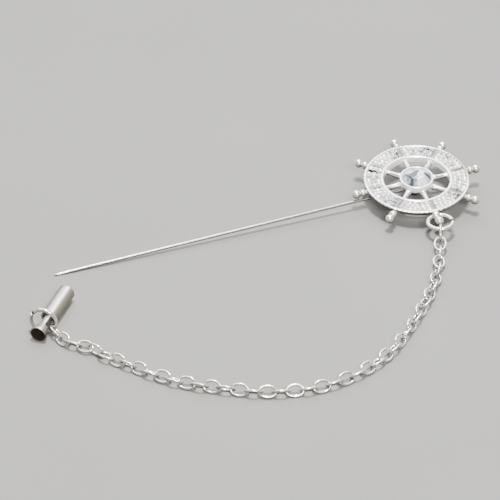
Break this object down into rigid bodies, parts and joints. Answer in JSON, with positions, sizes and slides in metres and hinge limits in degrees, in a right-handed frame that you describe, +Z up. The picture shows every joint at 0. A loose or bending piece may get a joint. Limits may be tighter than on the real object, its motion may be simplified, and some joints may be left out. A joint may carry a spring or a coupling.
{
  "type": "stick pin brooch",
  "caption": "Ship's wheel lapel brooch with a stone-set rim, a long straight needle, and a fine link chain to the needle's end cap, lying as laid on a table.",
  "frame": {"origin": "middle of the brooch's own footprint box, on the table", "axes": "+X along the needle's ground line from its point towards the wheel, +Z up from the table, +Y away from the chain's loop"},
  "size_m": [0.112, 0.0722, 0.0065],
  "materials": {
    "wheel_plate": "polished bright plating over cast alloy",
    "clear_stone": "faceted clear stone with a foiled back",
    "needle_steel": "polished drawn wire",
    "ring_plate": "polished plated wire",
    "chain_plate": "polished plated wire, slightly warm",
    "cap_plate": "satin turned plating"
  },
  "bodies": {
    "root": {"wheel": "wheel_plate", "centre_stone": "clear_stone", "rim_stones": "clear_stone", "needle": "needle_steel", "wheel_ring": "ring_plate", "chain": "chain_plate", "cap_ring": "ring_plate", "cap": "cap_plate"}
  },
  "joints": []
}
